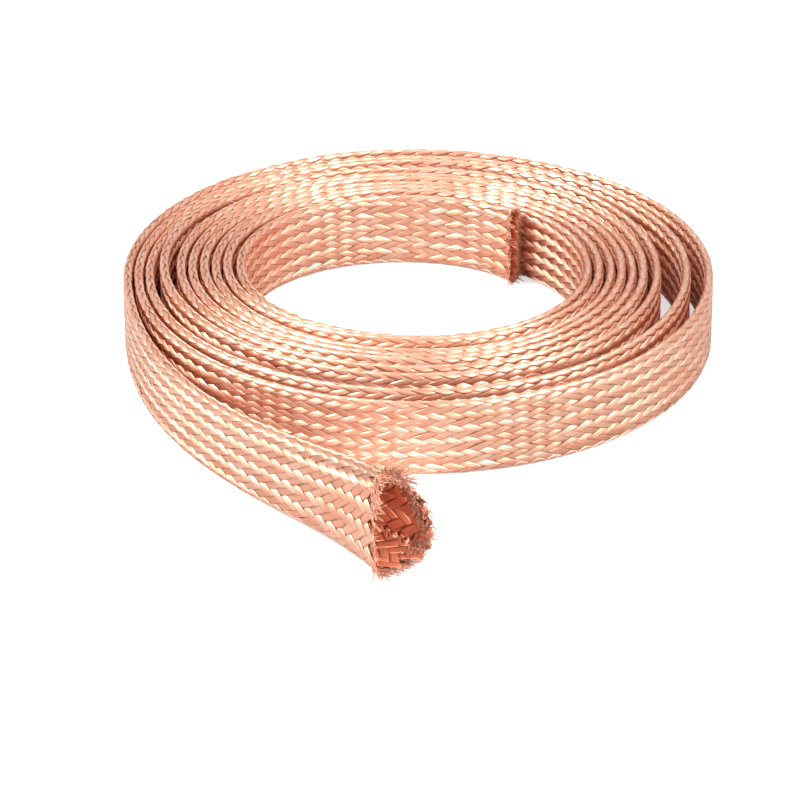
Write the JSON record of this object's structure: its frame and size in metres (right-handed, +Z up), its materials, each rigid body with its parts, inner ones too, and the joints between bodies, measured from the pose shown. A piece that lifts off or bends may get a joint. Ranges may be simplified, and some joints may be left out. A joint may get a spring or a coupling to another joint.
{
  "type": "flexible busbar braid",
  "caption": "Flattened tubular copper wire braid wound on its edge into a flat roll, with a loose tail that opens into a frayed tube mouth.",
  "frame": {"origin": "middle of the bounding box, on the surface that the roll rests on", "axes": "+Z up along the roll's axis; the loose tail and its mouth point along -Y"},
  "size_m": [0.2116, 0.224, 0.034],
  "materials": {
    "copper": null
  },
  "bodies": {
    "root": {"copper_braid": "copper"}
  },
  "joints": []
}
